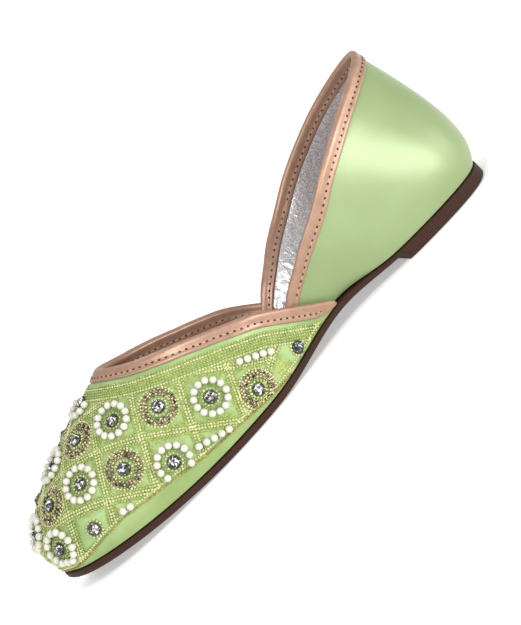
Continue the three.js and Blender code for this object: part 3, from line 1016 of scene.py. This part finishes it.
def build_insole_stitches():
    """A row of stitches in the rolled edge, and an arc of pricks in the sock under the ball of the foot."""
    insole, panel = skin_of(bpy.data.objects["rolled_insole"]), surface_of("sock_panel")
    border = outline_of(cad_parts["sock_panel"], 90)
    border = even_line(fair_line(border + border[:1], 1 * MM), EDGE_STITCH)
    places = []
    for before, point, after in zip(border[-2:-1] + border, border, border[1:] + border[1:2]):
        run = (after - before).normalized()
        spot = point + Vector((run.y, -run.x, 0)) * EDGE_SEAM
        hit, normal = insole.ray_cast(spot + Vector((0, 0, OVERHEAD)), Vector((0, 0, -1)))[:2]
        if hit:
            places.append(stand(hit, normal, run, 0.12 * MM))
    row = strew("insole_edge_stitches", ball(0.7 * MM, flat=0.6, long=2.8, detail=1), places)
    dress(row, sorted_beads("edge_thread", "#A98470", "#BF9A85", 0.5, 0.0))
    smooth(row, 80)
    pricks = []
    for degrees in BALL_ARC_DEGREES:
        angle = radians(degrees)
        above = BALL_ARC_MIDDLE + Vector((cos(angle), sin(angle), 0)) * BALL_ARC_RADIUS
        hit, normal = panel.ray_cast(above, Vector((0, 0, -1)))[:2]
        if hit:
            pricks.append(stand(hit, normal, Vector((-sin(angle), cos(angle), 0)), -0.05 * MM))
    arc = strew("ball_arc_pricks", ball(0.8 * MM, flat=0.5, long=1.8, detail=1), pricks)
    dress(arc, sorted_beads("arc_thread", "#8C6C5E", "#A78577", 0.5, 0.0))
    smooth(arc, 80)


def outline_of(piece, count):
    """The outline of a long flat piece, from the toe over the outer side to the heel and back."""
    verts = piece.data.vertices
    ends = np.array([[verts[number].co[:] for number in edge.vertices] for edge in piece.data.edges])
    low, high = ends[:, :, 1].min(), ends[:, :, 1].max()
    outer, inner = [], []
    for number in range(1, count):
        y = (low + high) / 2 - cos(pi * number / count) * (high - low) / 2
        cut = ends[(ends[:, 0, 1] - y) * (ends[:, 1, 1] - y) < 0]
        share = (y - cut[:, 0, 1]) / (cut[:, 1, 1] - cut[:, 0, 1])
        across = cut[:, 0, 0] + share * (cut[:, 1, 0] - cut[:, 0, 0])
        outer.append(Vector((across.max(), y, 0)))
        inner.append(Vector((across.min(), y, 0)))
    return outer + inner[::-1]


def build_sole():
    piece = supple_copy("outsole", "moulded_outsole", 1)
    dress(piece, moulded_sole(), slot="moulded_sole")
    smooth(piece, 30)


# The stage

def build_floor():
    bpy.ops.mesh.primitive_plane_add(size=30, location=(0, 0, 0))
    floor = bpy.context.object
    floor.name = "floor"
    paper = finish_named("lit_white_paper", 0.85, Emission_Color=linear("#FFFFFF"), Emission_Strength=0.42)
    specks = add(paper, "ShaderNodeTexNoise", {0: object_place(paper)}, in_2=3.0)
    wire(paper, "Base Color", two_tones(paper, specks.outputs[0], "#F5F5F4", "#F8F8F7"))
    dress(floor, paper)


def build_lights(aim):
    """A soft key over the toe, a strip and a low fill behind the heel for the satin's band, a small lamp
    for the glints of the beads, a weak light from above, and a white room."""
    lamps = (
        ("key", (0.75, -0.75, 0.9), 0.6, 0.6, 3.8),
        ("back_fill", (0.4, 0.95, 0.03), 0.5, 0.16, 1.3),
        ("heel_strip", (0.86, 0.58, 0.0), 0.6, 0.3, 8.5),
        ("sparkle", (0.95, -0.15, 0.75), 0.07, 0.07, 3.5),
        ("top", (-0.35, 0.1, 1.1), 0.5, 0.5, 1.3),
    )
    for name, place, width, height, power in lamps:
        lamp = bpy.data.lights.new(name, "AREA")
        lamp.shape = "ELLIPSE"
        lamp.size = width
        lamp.size_y = height
        lamp.energy = power
        holder = bpy.data.objects.new(name, lamp)
        bpy.context.scene.collection.objects.link(holder)
        holder.location = Vector(place)
        holder.rotation_euler = (aim - holder.location).to_track_quat("-Z", "Y").to_euler()
    world = bpy.data.worlds.new("studio")
    bpy.context.scene.world = world
    world.use_nodes = True
    # The room is brightest at its walls, darker under the ceiling and darker again behind the heel
    heading = add(world, "ShaderNodeTexCoord").outputs["Generated"]
    parts = add(world, "ShaderNodeSeparateXYZ", {0: heading})
    ceiling = add(world, "ShaderNodeMapRange", {0: parts.outputs[2]}, in_1=0.0, in_2=0.9, in_3=0.8, in_4=0.6)
    behind = add(world, "ShaderNodeMapRange", {0: parts.outputs[1]}, in_1=-0.1, in_2=0.7, in_3=1.0, in_4=0.8)
    glow = add(world, "ShaderNodeMath", {0: ceiling.outputs[0], 1: behind.outputs[0]}, operation="MULTIPLY")
    world.node_tree.links.new(glow.outputs[0], world.node_tree.nodes["Background"].inputs[1])
    world.node_tree.nodes["Background"].inputs[0].default_value = linear("#FFFFFF")
    bpy.context.scene.view_settings.view_transform = "Standard"


def build_camera():
    """The photo's view, turned and rolled as there, with the one shoe in the middle of the frame."""
    back = Vector((sin(CAMERA_AZIMUTH) * cos(CAMERA_ELEVATION), -cos(CAMERA_AZIMUTH) * cos(CAMERA_ELEVATION),
                   sin(CAMERA_ELEVATION)))
    level = Vector((cos(CAMERA_AZIMUTH), sin(CAMERA_AZIMUTH), 0))
    upright = back.cross(level)
    right = level * cos(CAMERA_ROLL) - upright * sin(CAMERA_ROLL)
    up = level * sin(CAMERA_ROLL) + upright * cos(CAMERA_ROLL)
    points = [vertex.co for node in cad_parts.values() for vertex in node.data.vertices]
    across = [point.dot(right) for point in points]
    rise = [point.dot(up) for point in points]
    aim = right * (min(across) + max(across)) / 2 + up * (min(rise) + max(rise)) / 2
    aim += back * (Vector((0, 0, 25 * MM)).dot(back))
    width = (max(across) - min(across)) / (1 - 2 * PHOTO_MARGIN)
    height = (max(rise) - min(rise)) / (1 - 2 * PHOTO_MARGIN)
    view_height = max(height, width * PHOTO_HEIGHT / PHOTO_WIDTH)
    data = bpy.data.cameras.new("camera")
    data.sensor_width = 36
    data.lens = data.sensor_width * CAMERA_DISTANCE / view_height
    data.clip_start = 0.05
    camera = bpy.data.objects.new("camera", data)
    bpy.context.scene.collection.objects.link(camera)
    camera.matrix_world = Matrix((right, up, back)).transposed().to_4x4()
    camera.location = aim + back * CAMERA_DISTANCE
    bpy.context.scene.camera = camera
    return aim


def round_the_toe(point):
    """The order of points along the vamp's edges, from the inner wing round the toe to the outer wing."""
    return atan2(point.x, 30 * MM - point.y)


def round_the_heel(point):
    """The order of points along the quarter's edges, from the inner wing round the heel to the outer wing."""
    return atan2(point.x, point.y + 20 * MM)


vamp_wall = Wall("vamp", lambda p: Vector((0, max(p.y, -75 * MM), 12 * MM)), round_the_toe, 0.8 * MM)
quarter_wall = Wall("quarter", lambda p: Vector((0, min(p.y, 85 * MM), p.z)), round_the_heel, 2.0 * MM)
toe_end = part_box("outsole")[0].y
cloth = Cloth(vamp_wall, Vector((0, toe_end + CLOTH_START, 70 * MM)))

aim = build_camera()
build_lights(aim)
build_floor()
build_sole()
build_insole()
build_vamp()
build_quarter()
build_bindings()
build_tape_stitches()
build_insole_stitches()
build_threads()
build_bead_work()

bpy.context.view_layer.update()
